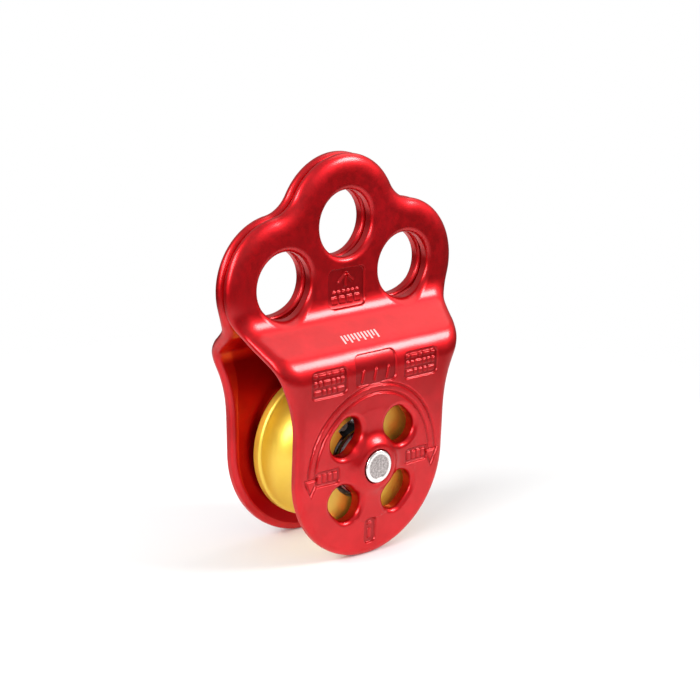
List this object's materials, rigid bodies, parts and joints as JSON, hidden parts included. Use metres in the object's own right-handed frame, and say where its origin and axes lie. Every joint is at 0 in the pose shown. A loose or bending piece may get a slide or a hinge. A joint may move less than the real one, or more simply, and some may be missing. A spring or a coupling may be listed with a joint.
{
  "type": "rope pulley",
  "caption": "Swing-cheek rope pulley: forged red side plates with carabiner eyes spread apart around a grooved gold sheave on sealed ball bearings.",
  "frame": {"origin": "centre of the top eye, midway between the side plates", "axes": "+Z from the sheave's axle up to the top eye, +Y from the front side plate to the rear side plate along the axle, +X to the right seen from the front"},
  "size_m": [0.0824, 0.0386, 0.1143],
  "materials": {
    "red_plate": "forged aluminium, polished and anodised bright red",
    "gold_sheave": "turned aluminium, satin gold anodised",
    "axle_steel": "stainless steel, bright riveted rim, grainy dished centre",
    "bearing_steel": "ground bearing steel",
    "ball_steel": "polished steel balls",
    "ring_steel": "spring steel, bright",
    "seal_rubber": "black nitrile rubber",
    "cage_plastic": "natural nylon",
    "washer_plastic": "white acetal"
  },
  "bodies": {
    "front_cheek": {"front_side_plate": "red_plate", "axle": "axle_steel", "bearing_spacer": "bearing_steel", "front_bearing_inner_ring": "bearing_steel", "rear_bearing_inner_ring": "bearing_steel", "front_spacer_bush": "bearing_steel", "rear_spacer_bush": "bearing_steel", "front_thrust_washer": "washer_plastic", "rear_thrust_washer": "washer_plastic"},
    "rear_cheek": {"rear_side_plate": "red_plate"},
    "sheave": {"sheave": "gold_sheave", "front_bearing_outer_ring": "bearing_steel", "rear_bearing_outer_ring": "bearing_steel", "front_bearing_outer_seal": "seal_rubber", "front_bearing_inner_seal": "seal_rubber", "rear_bearing_outer_seal": "seal_rubber", "rear_bearing_inner_seal": "seal_rubber", "front_retaining_ring": "ring_steel", "rear_retaining_ring": "ring_steel"},
    "front_ball_set": {"front_bearing_balls": "ball_steel", "front_bearing_cage": "cage_plastic"},
    "rear_ball_set": {"rear_bearing_balls": "ball_steel", "rear_bearing_cage": "cage_plastic"}
  },
  "joints": [
    {"name": "rear_plate_swing", "type": "hinge", "parent": "front_cheek", "child": "rear_cheek", "pos_m": [0, 0, -0.0673], "axis": [0, 1, 0], "continuous": true},
    {"name": "sheave_spin", "type": "hinge", "parent": "front_cheek", "child": "sheave", "pos_m": [0, 0, -0.0673], "axis": [0, 1, 0], "continuous": true},
    {"name": "front_balls_roll", "type": "hinge", "parent": "front_cheek", "child": "front_ball_set", "pos_m": [0, 0, -0.0673], "axis": [0, 1, 0], "continuous": true},
    {"name": "rear_balls_roll", "type": "hinge", "parent": "front_cheek", "child": "rear_ball_set", "pos_m": [0, 0, -0.0673], "axis": [0, 1, 0], "continuous": true}
  ],
  "couplings": [
    {"joint": "front_balls_roll", "follows": "sheave_spin", "ratio": 0.5994},
    {"joint": "rear_balls_roll", "follows": "sheave_spin", "ratio": 0.5994}
  ]
}
